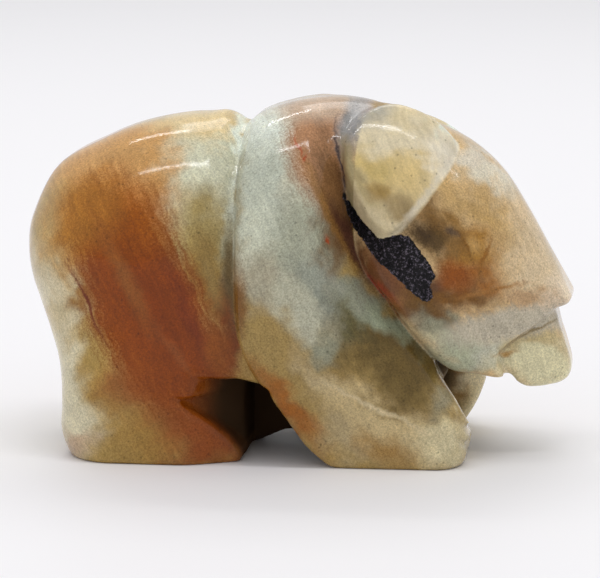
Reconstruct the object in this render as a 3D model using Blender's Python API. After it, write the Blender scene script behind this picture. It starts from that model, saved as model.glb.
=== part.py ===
"""Carved amazonite bear, one solid piece of polished stone, in metres with +Z up.

The bear faces +X and stands on its four feet, with the origin on the floor under its middle.
It is drawn about 51 long, 26 wide and 33 tall, and its skin is then scaled to the sizes below.
Each mass is a slab sawn to its outline as seen from the side, rounded over its edges and joined
to the others. The soles are sawn flat last."""

import bmesh
import bpy
import numpy as np
import openvdb

# Driving dimensions
LENGTH = 0.0512  # rump to nose
WIDTH = 0.026  # across the haunches
HEIGHT = 0.033  # floor to the hump over the shoulders

# The space that the bear is drawn in, with its floor at z = 0, and the fineness of the grid that fills it
DRAWN_LOW = (-28.0, -15.0, -2.0)
DRAWN_HIGH = (28.0, 15.0, 35.0)
GRID_STEP = 0.4

# Triangles left once the skin is thinned out where it is nearly flat
TRIANGLES = 9000

# How far below the floor the feet are carved before their soles are sawn off, in drawn units
SOLE_WASTE = 0.08

# Edges shorter than this, in metres, are closed up once the soles are sawn
SPLINTER = 0.00005

# The stone's middling colour, polished
STONE_COLOUR = (0.42, 0.30, 0.17, 1.0)
STONE_ROUGHNESS = 0.25

# Side outlines, as x forward of the middle and z above the floor
HINDQUARTERS = [
    (-4.7, 30.5), (-8.9, 31.2), (-14.2, 30.4), (-18.3, 28.9), (-22.7, 26.3), (-25.1, 21.8),
    (-25.5, 18.5), (-25.1, 16.0), (-24.1, 13.8), (-22.9, 11.5), (-21.9, 9.2), (-21.5, 7.0),
    (-21.5, 4.6), (-21.6, 2.6), (-20.9, 0.3), (-18.5, -4.0), (-4.0, -6.0), (4.0, -3.0), (6.0, 8.0),
    (5.0, 22.0)]
FOREQUARTERS = [
    (-12.0, 24.0), (-7.6, 28.6), (-3.8, 31.3), (-0.9, 32.4), (1.9, 32.9), (4.7, 32.9), (7.5, 32.4),
    (10.4, 31.2), (12.4, 25.0), (12.6, 17.0), (12.9, 11.6), (13.5, 9.0), (14.7, 7.0), (16.0, 5.4),
    (16.7, 4.2), (16.7, 2.8), (16.4, 0.9), (15.7, -0.8), (13.0, -6.0), (-2.0, -7.0), (-11.0, -4.0),
    (-15.0, 8.0)]
HEAD = [
    (4.5, 28.6), (6.0, 30.8), (9.0, 31.6), (12.4, 30.7), (16.2, 28.8), (19.3, 26.1), (21.7, 22.3),
    (23.7, 18.6), (25.2, 15.8), (25.7, 14.7), (25.2, 14.1), (24.3, 13.8), (23.4, 13.2), (22.4, 12.4),
    (21.3, 11.7), (20.1, 10.9), (19.3, 10.1), (19.1, 9.2), (19.5, 7.8), (17.0, 8.1), (14.4, 8.9),
    (11.4, 12.1), (9.0, 15.4), (6.8, 18.2), (5.2, 21.4), (4.5, 25.0)]
JAW = [
    (17.2, 9.6), (18.5, 13.2), (21.0, 14.3), (23.4, 14.4), (24.2, 13.4), (24.6, 12.0), (25.2, 10.3),
    (25.7, 8.4), (25.5, 7.2), (24.7, 6.6), (23.8, 6.4), (22.7, 6.3), (21.6, 6.4), (20.8, 6.9),
    (20.1, 7.7), (18.6, 8.3)]
FAR_PAW = [
    (11.0, 9.6), (14.3, 9.3), (16.5, 7.3), (17.2, 5.6), (17.0, 4.5), (16.5, 3.3), (15.7, 2.0),
    (14.9, 0.6), (14.2, -2.0), (10.0, -3.0), (9.5, 4.0)]
BELLY_GAP = [
    (-4.6, 7.5), (-1.9, 6.9), (0.3, 3.6), (1.4, 2.0), (3.7, 0.0), (6.0, -3.0), (-4.2, -3.0),
    (-4.3, 1.0), (-5.4, 2.5), (-7.0, 4.0), (-8.4, 5.0), (-10.1, 6.4), (-6.5, 6.3)]
GROIN_CUT = [(-8.6, 8.15), (-5.0, 7.7), (-1.9, 6.9), (-4.6, 5.6), (-6.8, 6.1), (-8.8, 6.6)]
WEB_ARCH = [(-4.4, -3.0), (-4.0, 0.0), (-3.0, 0.5), (-1.4, 1.2), (1.4, 1.4), (3.7, 0.0), (6.0, -3.0)]
SHOULDER_SEAM = [
    (-4.6, 40.0), (-4.7, 30.0), (-4.7, 20.0), (-4.2, 12.0), (-2.1, 7.1), (1.4, 2.0), (3.7, -0.3),
    (9.0, -5.0)]
SHOULDER_RIDGE = [
    (2.2, 44.0), (1.6, 34.0), (1.2, 25.0), (0.9, 18.0), (2.6, 11.5), (6.6, 7.4), (12.0, 4.8),
    (20.0, 4.0)]

# Half widths of the head at stations from the back of the skull down to the nose
SKULL = (4.0, 24.5)
HEAD_STATIONS = [-2.0, 2.0, 6.0, 10.0, 14.0, 18.0, 22.0, 26.0]
HEAD_HALF_WIDTHS = [8.0, 10.0, 10.8, 10.3, 8.7, 6.5, 4.6, 3.3]
JAW_STATIONS = [17.0, 19.5, 22.0, 24.0, 26.0]
JAW_HALF_WIDTHS = [6.2, 5.0, 3.9, 3.1, 2.6]

# The ear's outline in its own plane: along the front rim from the low tip, and back from the rim
EAR_TIP = (9.13, 9.9, 21.31)
EAR_RIM = (0.509, -0.574, 0.641)
EAR_OUTWARD = (0.24, 0.81, 0.535)
EAR = [
    (0.5, 0.0), (0.2, 1.6), (0.6, 3.2), (1.6, 5.4), (3.1, 7.3), (5.2, 8.5), (8.0, 8.5), (10.4, 7.2),
    (11.5, 5.0), (11.9, 3.0), (11.8, 1.1), (11.2, 0.1), (9.0, -0.5), (6.4, -0.7), (3.0, -0.7)]
EAR_MIDDLE = (6.3, 3.9)
EAR_DOME = 3.0
FAR_EAR_SHIFT = (1.2, 1.6)

# The belly gap goes straight in from each flank to a thin arched web, but its rear end and the groin
# cut above it slope in: each leaves the flank at a place forward, and deepens from there
WEB_HALF = 1.2
FLANK_HALF = 12.6
GAP_SLOPE = (-10.2, 1.1)
GAP_STRAIGHT_FROM = -4.3
GROIN_SLOPE = (-8.6, 1.5)

# Saw slots between the fore paws and between the hind feet: half width, top and inner end. The fore
# one flares forward from a start, faster into the near leg than into the far one
FORE_SLOT = (2.3, 7.2, 6.5)
FLARE_START = 10.5
NEAR_FLARE = 1.1
FAR_FLARE = 0.45
REAR_SLOT = (1.8, 8.0, -14.0)

# How far forward the cuts into the fore paws may reach, short of the jaw above them
PAWS_END = 18.0

# The far fore paw is a slab of its own, its front set back where the leg would end: middle, half
# width, and the place ahead of which and height below which the leg is ground away for it
FAR_PAW_MIDDLE = 6.6
FAR_PAW_HALF = 4.6
FAR_PAW_CLEARED = (12.0, 7.0)

# Three saw cuts that part the toes of the near fore paw, each from its top to its foot
TOE_CUTS = [((15.7, 6.2), (17.0, 4.4)), ((15.6, 4.9), (17.0, 3.0)), ((15.2, 3.5), (16.8, 1.5))]
TOE_CUT_WIDTH = 0.55
TOE_CUT_DEPTH = 0.45


def ease(value, start, end):
    """0 before start and 1 after end, with a soft run between them."""
    t = np.clip((value - start) / (end - start), 0.0, 1.0)
    return t * t * (3 - 2 * t)


def curve(points, per_span=8, closed=True):
    """Smooth curve through the points (Catmull-Rom)."""
    p = np.asarray(points, float)
    if not closed:
        p = np.vstack([2 * p[0] - p[1], p, 2 * p[-1] - p[-2]])
    a, b, c, d = (np.roll(p, shift, axis=0)[:, None] for shift in (1, 0, -1, -2))
    t = np.linspace(0.0, 1.0, per_span, endpoint=False)[None, :, None]
    run = 2 * b + (c - a) * t + (2 * a - 5 * b + 4 * c - d) * t**2 + (3 * b - a - 3 * c + d) * t**3
    return (run if closed else run[1:-2]).reshape(-1, 2) / 2


def outline_distance(x, z, loop):
    """Distance from (x, z) to a closed loop of points, negative inside it."""
    x, z = np.broadcast_arrays(x, z)
    nearest = np.full(x.shape, np.inf)
    inside = np.zeros(x.shape, bool)
    for (ax, az), (bx, bz) in zip(loop, np.roll(loop, -1, axis=0)):
        along_x, along_z = bx - ax, bz - az
        px, pz = x - ax, z - az
        t = np.clip((px * along_x + pz * along_z) / (along_x**2 + along_z**2), 0.0, 1.0)
        nearest = np.minimum(nearest, (px - t * along_x) ** 2 + (pz - t * along_z) ** 2)
        if along_z:
            inside ^= ((az <= z) != (bz <= z)) & (px < pz * along_x / along_z)
    return np.where(inside, -1.0, 1.0) * np.sqrt(nearest)


def line_distance(x, z, points):
    """Distance from (x, z) to an open line of points, positive on its left as it is walked."""
    x, z = np.broadcast_arrays(x, z)
    nearest = np.full(x.shape, np.inf)
    side = np.ones(x.shape)
    for (ax, az), (bx, bz) in zip(points, points[1:]):
        along_x, along_z = bx - ax, bz - az
        px, pz = x - ax, z - az
        t = np.clip((px * along_x + pz * along_z) / (along_x**2 + along_z**2), 0.0, 1.0)
        square = (px - t * along_x) ** 2 + (pz - t * along_z) ** 2
        closer = square < nearest
        nearest = np.where(closer, square, nearest)
        side = np.where(closer, np.sign(along_x * pz - along_z * px), side)
    return side * np.sqrt(nearest)


def rounded_slab(outline, y, half_width, edge_in, edge_across):
    """A slab sawn to an outline, its edge turned over as a quarter ellipse that reaches edge_in
    from the outline and edge_across from the face. Roughly the distance to it."""
    u = np.maximum(1 + outline / edge_in, 0.0)
    v = np.maximum(1 + (np.abs(y) - half_width) / edge_across, 0.0)
    r = np.sqrt(u * u + v * v)
    slope = np.sqrt((u / edge_in) ** 2 + (v / edge_across) ** 2)
    return (r - 1) * (r + 1e-6) / (slope + 1e-6)


def join(a, b, radius):
    """Both forms, their meeting softened over the radius."""
    h = np.clip(0.5 + 0.5 * (b - a) / radius, 0.0, 1.0)
    return b + (a - b) * h - radius * h * (1 - h)


def cut(a, cutter, radius):
    """The form a less the cutter, the new edge softened over the radius."""
    return -join(-a, cutter, radius)


def swell(x, z, middle, fall):
    """How far a gently bulging flank lies inside its widest point, which is at the middle."""
    return fall * ((x - middle[0]) ** 2 + (z - middle[1]) ** 2)


def hindquarters(x, y, z):
    """Rump and hind legs, drawn in at the waist and a little at the feet."""
    outline = outline_distance(x, z, curve(HINDQUARTERS))
    half = 13.0 - 2.1 * ease(x, -10.0, -3.6) - 0.5 * (1 - ease(z, 0.0, 11.0))
    half = half - swell(x, z, (-13.0, 14.0), 0.002)
    edge_in = 4.5 + 7.5 * ease(z, 5.0, 17.0)
    edge_across = 5.0 + 6.5 * ease(z, 5.0, 18.0)
    return rounded_slab(outline, y, half, edge_in, edge_across)


def forequarters(x, y, z):
    """Shoulders and forelegs: full behind the ridge, falling away ahead of it, sawn off at the seam."""
    outline = outline_distance(x, z, curve(FOREQUARTERS))
    ahead = np.maximum(line_distance(x, z, curve(SHOULDER_RIDGE, closed=False)), 0.0)
    upper = ease(z, 15.0, 23.0)
    roll = 2.4 - 0.9 * upper
    fall = (0.75 + 1.0 * upper) * (np.sqrt(ahead**2 + roll**2) - roll)
    half = 12.9 - 1.2 * (1 - ease(z, 2.0, 12.0)) - swell(x, z, (0.0, 15.0), 0.001)
    half = np.maximum(half - fall, 3.5)
    edge_in = 2.4 + 10.6 * ease(z, 9.0, 21.0)
    edge_across = np.minimum(3.0 + 8.0 * ease(z, 9.0, 20.0), 0.95 * half)
    form = rounded_slab(outline, y, half, edge_in, edge_across)
    ahead_of_seam = line_distance(x, z, curve(SHOULDER_SEAM, closed=False))
    return cut(form, ahead_of_seam, 1.3)


def head(x, y, z):
    """The head without its jaw: flat cheeks, a round crown, and widths that taper down to the nose."""
    outline = outline_distance(x, z, curve(HEAD))
    slanted = (x - SKULL[0]) * 0.87 - (z - SKULL[1]) * 0.49
    level = (x - SKULL[0]) * 1.08
    down = slanted + 0.8 * (level - slanted) * (1 - ease(z + 0.35 * x, 14.0, 25.0))
    stations, half_widths = curve(list(zip(HEAD_STATIONS, HEAD_HALF_WIDTHS)), closed=False).T
    half = np.interp(down, stations, half_widths)
    crown = ease(z + 0.35 * x, 18.0, 29.0)
    half = half - 1.2 * ease(z + 0.35 * x, 22.0, 31.0)
    lip = ease(x, 17.0, 20.5) * (1 - ease(z, 14.0, 17.0))
    edge_in = np.minimum(1.6 + half * 1.3 * crown - 1.1 * lip, 1.0 + 0.7 * np.maximum(26.5 - x, 0.0))
    edge_across = half * (0.26 + 0.70 * crown - 0.16 * lip)
    return rounded_slab(outline, y, half, edge_in, edge_across)


def jaw(x, y, z):
    """The lower jaw, narrower than the lips above it."""
    outline = outline_distance(x, z, curve(JAW))
    half = np.interp(x, JAW_STATIONS, JAW_HALF_WIDTHS) - swell(x, z, (22.0, 10.0), 0.01)
    return rounded_slab(outline, y, half, 1.0, 1.3)


def toe_groove(x, z, top, foot):
    """How deep a slanting saw cut goes at (x, z), fading out at its ends."""
    (tx, tz), (fx, fz) = top, foot
    length = np.hypot(fx - tx, fz - tz)
    across = ((x - tx) * (tz - fz) + (z - tz) * (fx - tx)) / length
    along = ((x - tx) * (fx - tx) + (z - tz) * (fz - tz)) / length
    ends = ease(along, -0.3, 0.6) * (1 - ease(along, length, length + 1.0))
    return TOE_CUT_DEPTH * np.exp(-((2 * across / TOE_CUT_WIDTH) ** 2)) * ends


def ear(x, y, z):
    """The left ear: a domed disc standing off the head, cut straight along its front rim."""
    outward, rim = np.array(EAR_OUTWARD), np.array(EAR_RIM)
    back = np.cross(rim, outward)
    dx, dy, dz = x - EAR_TIP[0], y - EAR_TIP[1], z - EAR_TIP[2]
    along, behind, out = (dx * axis[0] + dy * axis[1] + dz * axis[2] for axis in (rim, back, outward))
    near = (np.abs(along - 6) < 8.5) & (np.abs(behind - 4) < 7) & (np.abs(out) < 5)
    form = np.full(along.shape, 3.0)
    outline = outline_distance(along[near], behind[near], curve(EAR, per_span=5))
    top = EAR_DOME - 0.05 * ((along[near] - EAR_MIDDLE[0]) ** 2 + (behind[near] - EAR_MIDDLE[1]) ** 2)
    shell = cut(outline, 0.9 * (top - out[near]), 0.5)
    form[near] = np.maximum(shell, -out[near] - 1.6)
    return form


def ears(x, y, z):
    """The near ear, and the far one, which is set a little further forward and lower."""
    forward, down = FAR_EAR_SHIFT
    return np.minimum(ear(x, -y, z), ear(x - forward, y, z + down))


def belly_gap(form, x, y, z):
    """The form less the gap under its belly, which leaves a thin arched web along the middle."""
    gap_start, gap_fall = GAP_SLOPE
    gap_wall = np.where(x < GAP_STRAIGHT_FROM, FLANK_HALF - gap_fall * (x - gap_start), WEB_HALF)
    gap = np.maximum(outline_distance(x, z, np.array(BELLY_GAP)), gap_wall - np.abs(y))
    groin_start, groin_fall = GROIN_SLOPE
    groin_wall = np.maximum(FLANK_HALF - groin_fall * (x - groin_start), WEB_HALF)
    groin = np.maximum(outline_distance(x, z, np.array(GROIN_CUT)), groin_wall - np.abs(y))
    arch = outline_distance(x, z, np.array(WEB_ARCH))
    return cut(cut(cut(form, gap, 0.7), groin, 1.2), arch, 0.5)


def paws(form, x, y, z):
    """The form with its toes cut, its far fore paw put on and its four feet parted by two slots."""
    for top, foot in TOE_CUTS:
        form = form + toe_groove(x, z, top, foot) * ease(-y, 4.0, 6.0)
    cleared_from, cleared_below = FAR_PAW_CLEARED
    cleared = np.maximum(np.maximum(cleared_from - x, x - PAWS_END), z - cleared_below)
    form = cut(form, np.maximum(cleared, -y), 0.8)
    far_paw = outline_distance(x, z, curve(FAR_PAW))
    form = join(form, rounded_slab(far_paw, y - FAR_PAW_MIDDLE, FAR_PAW_HALF, 1.4, 2.0), 0.6)
    half, top, back = FORE_SLOT
    flare = np.where(y < 0, NEAR_FLARE, FAR_FLARE)
    half = half + flare * np.maximum(x - FLARE_START, 0.0) * ease(z, 1.0, 5.0)
    fore_slot = np.maximum(np.maximum(back - x, x - PAWS_END), z - top)
    form = cut(form, np.maximum(fore_slot, np.abs(y) - half), 0.8)
    half, top, front = REAR_SLOT
    return cut(form, np.maximum(np.maximum(np.abs(y) - half, z - top), x - front), 1.0)


def carving(x, y, z):
    """The whole bear as a field in drawn units, negative inside the stone, its feet not yet sawn flat."""
    form = join(hindquarters(x, y, z), forequarters(x, y, z), 0.6)
    form = join(form, head(x, y, z), 0.5)
    form = join(form, jaw(x, y, z), 0.4)
    melt = 0.3 + 2.2 * ease(z - 0.6 * x, 23.5, 27.5)
    form = join(form, ears(x, y, z), melt)
    return paws(belly_gap(form, x, y, z), x, y, z)


def bear(x, y, z):
    """The carving with its soles sawn, but for a little waste."""
    return cut(carving(x, y, z), z + SOLE_WASTE, 0.5)


def skin(step):
    """The carving's surface as points in drawn units and faces."""
    x, y, z = (np.arange(low, high, step) for low, high in zip(DRAWN_LOW, DRAWN_HIGH))
    field = bear(x[:, None, None], y[None, :, None], z[None, None, :])
    grid = openvdb.FloatGrid()
    grid.background = float(field.max())
    grid.copyFromArray(np.ascontiguousarray(field, dtype=np.float32))
    points, triangles, quads = grid.convertToPolygons(isovalue=0.0, adaptivity=0.0)
    points = points * step + (x[0], y[0], z[0])
    return points, triangles.tolist() + quads.tolist()


def stone():
    """The polished stone."""
    material = bpy.data.materials.new("amazonite")
    material.use_nodes = True
    shader = material.node_tree.nodes["Principled BSDF"]
    shader.inputs["Base Color"].default_value = STONE_COLOUR
    shader.inputs["Roughness"].default_value = STONE_ROUGHNESS
    return material


def floor_saw():
    """The block whose top is the floor, which saws the soles flat."""
    mesh = bpy.data.meshes.new("floor_saw")
    block = bmesh.new()
    bmesh.ops.create_cube(block, size=2 * LENGTH)
    bmesh.ops.translate(block, verts=block.verts, vec=(0.0, 0.0, -LENGTH))
    block.to_mesh(mesh)
    block.free()
    saw = bpy.data.objects.new("floor_saw", mesh)
    saw.hide_render = True
    saw.display_type = "WIRE"
    bpy.context.scene.collection.objects.link(saw)
    return saw


def carve():
    """The bear as one closed body of its real size, standing on the floor about the origin."""
    points, faces = skin(GRID_STEP)
    low, high = points.min(axis=0), points.max(axis=0)
    middle = (low + high) / 2 * (1, 1, 0)
    drawn_size = high - low * (1, 1, 0)
    points = (points - middle) * np.array((LENGTH, WIDTH, HEIGHT)) / drawn_size
    mesh = bpy.data.meshes.new("bear")
    mesh.from_pydata(points.tolist(), [], faces)
    mesh.shade_smooth()
    mesh.materials.append(stone())
    carving = bpy.data.objects.new("bear", mesh)
    bpy.context.scene.collection.objects.link(carving)
    thinned = carving.modifiers.new("thinned", "DECIMATE")
    thinned.ratio = TRIANGLES / sum(len(face) - 2 for face in faces)
    soles = carving.modifiers.new("soles", "BOOLEAN")
    soles.operation = "DIFFERENCE"
    soles.object = floor_saw()
    splinters = carving.modifiers.new("splinters", "WELD")
    splinters.merge_threshold = SPLINTER


for old in list(bpy.data.objects):
    bpy.data.objects.remove(old)
carve()
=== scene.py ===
"""A carved bear of banded amazonite on a pale studio floor, in metres with +Z up and the nose to +X."""

import bpy
import numpy as np
import openvdb
from mathutils import Matrix, Vector


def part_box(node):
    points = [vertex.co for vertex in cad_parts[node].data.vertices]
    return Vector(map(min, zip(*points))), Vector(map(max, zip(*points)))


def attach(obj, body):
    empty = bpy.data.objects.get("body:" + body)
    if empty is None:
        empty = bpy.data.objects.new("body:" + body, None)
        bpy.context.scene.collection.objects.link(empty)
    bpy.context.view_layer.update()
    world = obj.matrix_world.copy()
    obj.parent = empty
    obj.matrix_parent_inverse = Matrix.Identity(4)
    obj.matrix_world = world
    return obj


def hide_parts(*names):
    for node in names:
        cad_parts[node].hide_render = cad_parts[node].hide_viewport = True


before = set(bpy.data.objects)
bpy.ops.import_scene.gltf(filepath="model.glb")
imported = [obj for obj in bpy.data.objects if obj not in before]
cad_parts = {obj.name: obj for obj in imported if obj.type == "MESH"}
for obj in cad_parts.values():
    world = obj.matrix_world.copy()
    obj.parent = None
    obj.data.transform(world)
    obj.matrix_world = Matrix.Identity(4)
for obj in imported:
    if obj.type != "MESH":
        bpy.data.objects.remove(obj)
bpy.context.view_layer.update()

# The bear is one lump of banded stone. It was sawn to its side outline, ground round on wheels,
# cut at the waist, mouth and toes, and tumbled to a polish. It is drawn here in millimetres, its side
# outlines as x forward of the middle and z above the floor, and the finished skin is set to the
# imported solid's own length, width and height.


def ease(value, start, end):
    """0 before start and 1 after end, with a soft run between them: 3t squared less 2t cubed."""
    t = np.clip((value - start) / (end - start), 0.0, 1.0)
    return t * t * (3 - 2 * t)


def fade(value, start, end):
    """1 before start and 0 after end, with a soft run between them."""
    return 1 - ease(value, start, end)


def rising(value, low, more, start, end):
    """low before start and low plus more after end, with a soft run between them."""
    return low + more * ease(value, start, end)


def curve(points, per_span=8, closed=True):
    """Smooth curve through the points: cubic spans (Catmull-Rom), whose slope at each point is half of
    the way from the point before it to the one after it."""
    p = np.asarray(points, float)
    if not closed:
        p = np.vstack([2 * p[0] - p[1], p, 2 * p[-1] - p[-2]])
    a, b, c, d = (np.roll(p, shift, axis=0)[:, None] for shift in (1, 0, -1, -2))
    t = np.linspace(0.0, 1.0, per_span, endpoint=False)[None, :, None]
    run = 2 * b + (c - a) * t + (2 * a - 5 * b + 4 * c - d) * t**2 + (3 * b - a - 3 * c + d) * t**3
    return (run if closed else run[1:-2]).reshape(-1, 2) / 2


def outline_distance(x, z, loop):
    """Distance from (x, z) to a closed loop of points: to the nearest place on any of its sides, and
    negative inside it, where a line drawn forward from the point crosses an odd number of sides."""
    x, z = np.broadcast_arrays(x, z)
    nearest = np.full(x.shape, np.inf)
    inside = np.zeros(x.shape, bool)
    for (ax, az), (bx, bz) in zip(loop, np.roll(loop, -1, axis=0)):
        along_x, along_z = bx - ax, bz - az
        px, pz = x - ax, z - az
        t = np.clip((px * along_x + pz * along_z) / (along_x**2 + along_z**2), 0.0, 1.0)
        nearest = np.minimum(nearest, (px - t * along_x) ** 2 + (pz - t * along_z) ** 2)
        if along_z:
            inside ^= ((az <= z) != (bz <= z)) & (px < pz * along_x / along_z)
    return np.where(inside, -1.0, 1.0) * np.sqrt(nearest)


def line_distance(x, z, points):
    """Distance from (x, z) to the nearest place on an open line of points, positive on its left as it is
    walked."""
    x, z = np.broadcast_arrays(x, z)
    nearest = np.full(x.shape, np.inf)
    side = np.ones(x.shape)
    for (ax, az), (bx, bz) in zip(points, points[1:]):
        along_x, along_z = bx - ax, bz - az
        px, pz = x - ax, z - az
        t = np.clip((px * along_x + pz * along_z) / (along_x**2 + along_z**2), 0.0, 1.0)
        square = (px - t * along_x) ** 2 + (pz - t * along_z) ** 2
        closer = square < nearest
        nearest = np.where(closer, square, nearest)
        side = np.where(closer, np.sign(along_x * pz - along_z * px), side)
    return side * np.sqrt(nearest)


LEAST_SLOPE = 1e-6


def rounded_slab(outline, y, half_width, edge_in, edge_across):
    """A slab sawn to an outline, its edge turned over as a quarter ellipse that reaches edge_in
    from the outline and edge_across from the face. Roughly the distance to it: how far the point
    lies past the ellipse, in radii, divided by how fast that grows there, which is kept off 0."""
    u = np.maximum(1 + outline / edge_in, 0.0)
    v = np.maximum(1 + (np.abs(y) - half_width) / edge_across, 0.0)
    r = np.sqrt(u * u + v * v)
    slope = np.sqrt((u / edge_in) ** 2 + (v / edge_across) ** 2)
    return (r - 1) * (r + LEAST_SLOPE) / (slope + LEAST_SLOPE)


def join(a, b, radius):
    """Both forms: the lesser distance, taken down by up to a quarter of the radius where the two are
    within it of each other, which softens their meeting."""
    h = np.clip(0.5 + 0.5 * (b - a) / radius, 0.0, 1.0)
    return b + (a - b) * h - radius * h * (1 - h)


def cut(a, cutter, radius):
    """The form a less the cutter, the new edge softened over the radius."""
    return -join(-a, cutter, radius)


def swell(x, z, middle, fall):
    """How far a gently bulging flank lies inside its widest point: fall times the square of the
    distance from there."""
    return fall * ((x - middle[0]) ** 2 + (z - middle[1]) ** 2)


# Rump and hind legs: the side outline, the half width at the fullest, where that is and how fast the
# flank falls away from it, what the waist and the feet draw in and over which places or heights, and
# how far the edge is turned over: so much at the feet, so much more above, and the heights between
HINDQUARTERS = [
    (-4.7, 30.5), (-8.9, 31.2), (-14.2, 30.4), (-18.3, 28.9), (-22.7, 26.3), (-25.1, 21.8),
    (-25.5, 18.5), (-25.1, 16.0), (-24.1, 13.8), (-22.9, 11.5), (-21.9, 9.2), (-21.5, 7.0),
    (-21.5, 4.6), (-21.6, 2.6), (-20.9, 0.3), (-18.5, -4.0), (-4.0, -6.0), (4.0, -3.0), (6.0, 8.0),
    (5.0, 22.0)]
HIND_HALF = 13.0
HIND_FULLEST = ((-13.0, 14.0), 0.002)
WAIST_DRAWN_IN = 2.1
WAIST_RUN = (-10.0, -3.6)
HIND_FEET_DRAWN_IN = 0.5
HIND_FEET_RUN = (0.0, 11.0)
HIND_EDGE_IN = (4.5, 7.5, 5.0, 17.0)
HIND_EDGE_ACROSS = (5.0, 6.5, 5.0, 18.0)


def hindquarters(x, y, z):
    """Rump and hind legs: a rounded slab, drawn in at the waist and a little at the feet, its edge
    turned over further above than at the feet."""
    outline = outline_distance(x, z, curve(HINDQUARTERS))
    half = HIND_HALF - WAIST_DRAWN_IN * ease(x, *WAIST_RUN) - HIND_FEET_DRAWN_IN * fade(z, *HIND_FEET_RUN)
    half = half - swell(x, z, *HIND_FULLEST)
    return rounded_slab(outline, y, half, rising(z, *HIND_EDGE_IN), rising(z, *HIND_EDGE_ACROSS))


# Shoulders and forelegs, by the same values. Where the body is narrow, the edge across takes at most
# a share of its half width
FOREQUARTERS = [
    (-12.0, 24.0), (-7.6, 28.6), (-3.8, 31.3), (-0.9, 32.4), (1.9, 32.9), (4.7, 32.9), (7.5, 32.4),
    (10.4, 31.2), (12.4, 25.0), (12.6, 17.0), (12.9, 11.6), (13.5, 9.0), (14.7, 7.0), (16.0, 5.4),
    (16.7, 4.2), (16.7, 2.8), (16.4, 0.9), (15.7, -0.8), (13.0, -6.0), (-2.0, -7.0), (-11.0, -4.0),
    (-15.0, 8.0)]
FORE_HALF = 12.9
FORE_FULLEST = ((0.0, 15.0), 0.001)
FORE_FEET_DRAWN_IN = 1.2
FORE_FEET_RUN = (2.0, 12.0)
FORE_EDGE_IN = (2.4, 10.6, 9.0, 21.0)
FORE_EDGE_ACROSS = (3.0, 8.0, 9.0, 20.0)
FORE_EDGE_SHARE = 0.95

# Ahead of the shoulder's ridge the flank rolls over and falls away, tighter and steeper in its upper
# part, down to a least half width. The seam behind the shoulder has a rounded lip
SHOULDER_RIDGE = [
    (2.2, 44.0), (1.6, 34.0), (1.2, 25.0), (0.9, 18.0), (2.6, 11.5), (6.6, 7.4), (12.0, 4.8),
    (20.0, 4.0)]
RIDGE_ROLL = (2.4, -0.9, 15.0, 23.0)
RIDGE_FALL = (0.75, 1.0, 15.0, 23.0)
FORE_LEAST_HALF = 3.5
SHOULDER_SEAM = [
    (-4.6, 40.0), (-4.7, 30.0), (-4.7, 20.0), (-4.2, 12.0), (-2.1, 7.1), (1.4, 2.0), (3.7, -0.3),
    (9.0, -5.0)]
SEAM_ROUNDING = 1.3


def forequarters(x, y, z):
    """Shoulders and forelegs: a rounded slab, sawn off at the seam. Ahead of the ridge it falls away as
    a hyperbola: the root of the squares of the way ahead and of the roll, less the roll."""
    outline = outline_distance(x, z, curve(FOREQUARTERS))
    ahead = np.maximum(line_distance(x, z, curve(SHOULDER_RIDGE, closed=False)), 0.0)
    roll = rising(z, *RIDGE_ROLL)
    fall = rising(z, *RIDGE_FALL) * (np.sqrt(ahead**2 + roll**2) - roll)
    half = FORE_HALF - FORE_FEET_DRAWN_IN * fade(z, *FORE_FEET_RUN) - swell(x, z, *FORE_FULLEST)
    half = np.maximum(half - fall, FORE_LEAST_HALF)
    edge_across = np.minimum(rising(z, *FORE_EDGE_ACROSS), FORE_EDGE_SHARE * half)
    form = rounded_slab(outline, y, half, rising(z, *FORE_EDGE_IN), edge_across)
    ahead_of_seam = line_distance(x, z, curve(SHOULDER_SEAM, closed=False))
    return cut(form, ahead_of_seam, SEAM_ROUNDING)


# The head without its jaw: its outline, and half widths at stations from the back of the skull down to
# the nose. The way down is aslant along the crown and, by a share, level and stretched on the cheeks
HEAD = [
    (4.5, 28.6), (6.0, 30.8), (9.0, 31.6), (12.4, 30.7), (16.2, 28.8), (19.3, 26.1), (21.7, 22.3),
    (23.7, 18.6), (25.2, 15.8), (25.7, 14.7), (25.2, 14.1), (24.3, 13.8), (23.4, 13.2), (22.4, 12.4),
    (21.3, 11.7), (20.1, 10.9), (19.3, 10.1), (19.1, 9.2), (19.5, 7.8), (17.0, 8.1), (14.4, 8.9),
    (11.4, 12.1), (9.0, 15.4), (6.8, 18.2), (5.2, 21.4), (4.5, 25.0)]
SKULL = (4.0, 24.5)
HEAD_STATIONS = [-2.0, 2.0, 6.0, 10.0, 14.0, 18.0, 22.0, 26.0]
HEAD_HALF_WIDTHS = [8.0, 10.0, 10.8, 10.3, 8.7, 6.5, 4.6, 3.3]
CROWN_WAY = (0.87, -0.49)
CHEEK_STRETCH = 1.08
CHEEK_SHARE = 0.8

# Heights on the head rise with its slope. Between these the cheeks give way to the crown, the crown
# is turned over and the crown is drawn in, and these are the places and heights of the lips
HEAD_SLOPE = 0.35
CHEEK_RUN = (14.0, 25.0)
CROWN_TURNED_RUN = (18.0, 29.0)
CROWN_DRAWN_IN = 1.2
CROWN_DRAWN_IN_RUN = (22.0, 31.0)
LIP_RUN = (17.0, 20.5)
LIP_HEIGHTS = (14.0, 17.0)

# The head's edge: how far it is turned over on the cheeks, what share of the half width is added at the
# crown, and what the lips take off. Towards the nose it shrinks to an end value
HEAD_EDGE_IN = (1.6, 1.3, 1.1)
HEAD_EDGE_ACROSS = (0.26, 0.70, 0.16)
NOSE_EDGE = 1.0
NOSE_EDGE_GROWTH = 0.7
NOSE_END = 26.5


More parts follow.
